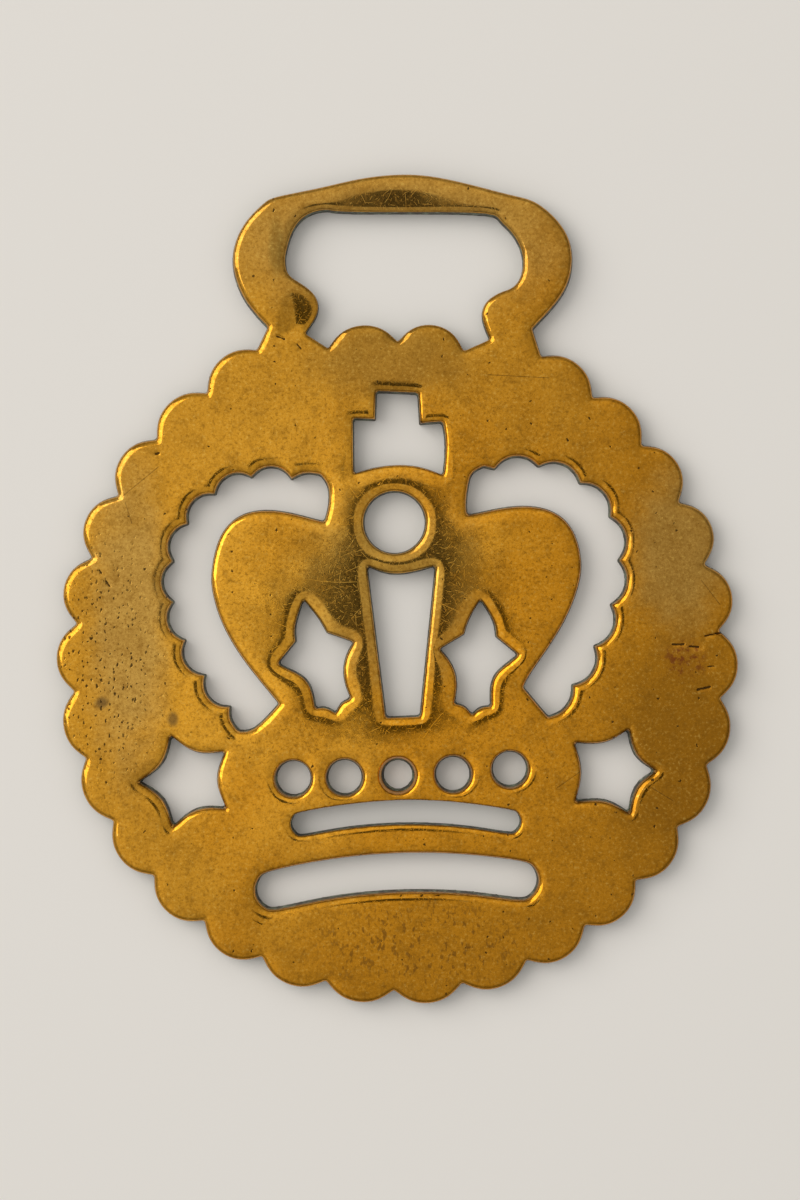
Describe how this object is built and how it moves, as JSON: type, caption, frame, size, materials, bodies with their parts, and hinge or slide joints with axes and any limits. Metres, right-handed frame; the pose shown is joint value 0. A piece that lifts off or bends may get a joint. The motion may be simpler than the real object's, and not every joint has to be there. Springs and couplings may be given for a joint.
{
  "type": "horse brass",
  "caption": "Flat cast horse brass: a scalloped round plate pierced with a crown, stars, round holes and arched slots, with a slotted hanger for a harness strap.",
  "frame": {"origin": "the middle of the outline's bounding rectangle, on the flat back", "axes": "+Z out of the polished face, +Y towards the hanger, +X to the right seen from the face"},
  "size_m": [0.074, 0.0902, 0.0025],
  "materials": {
    "worn_brass": "Cast brass, hand polished and worn on the face, with rounded bright edges, fine scratches, casting pits and patchy brown-olive tarnish; duller and rougher on the back and in the walls of the openings."
  },
  "bodies": {
    "root": {"horse_brass": "worn_brass"}
  },
  "joints": []
}
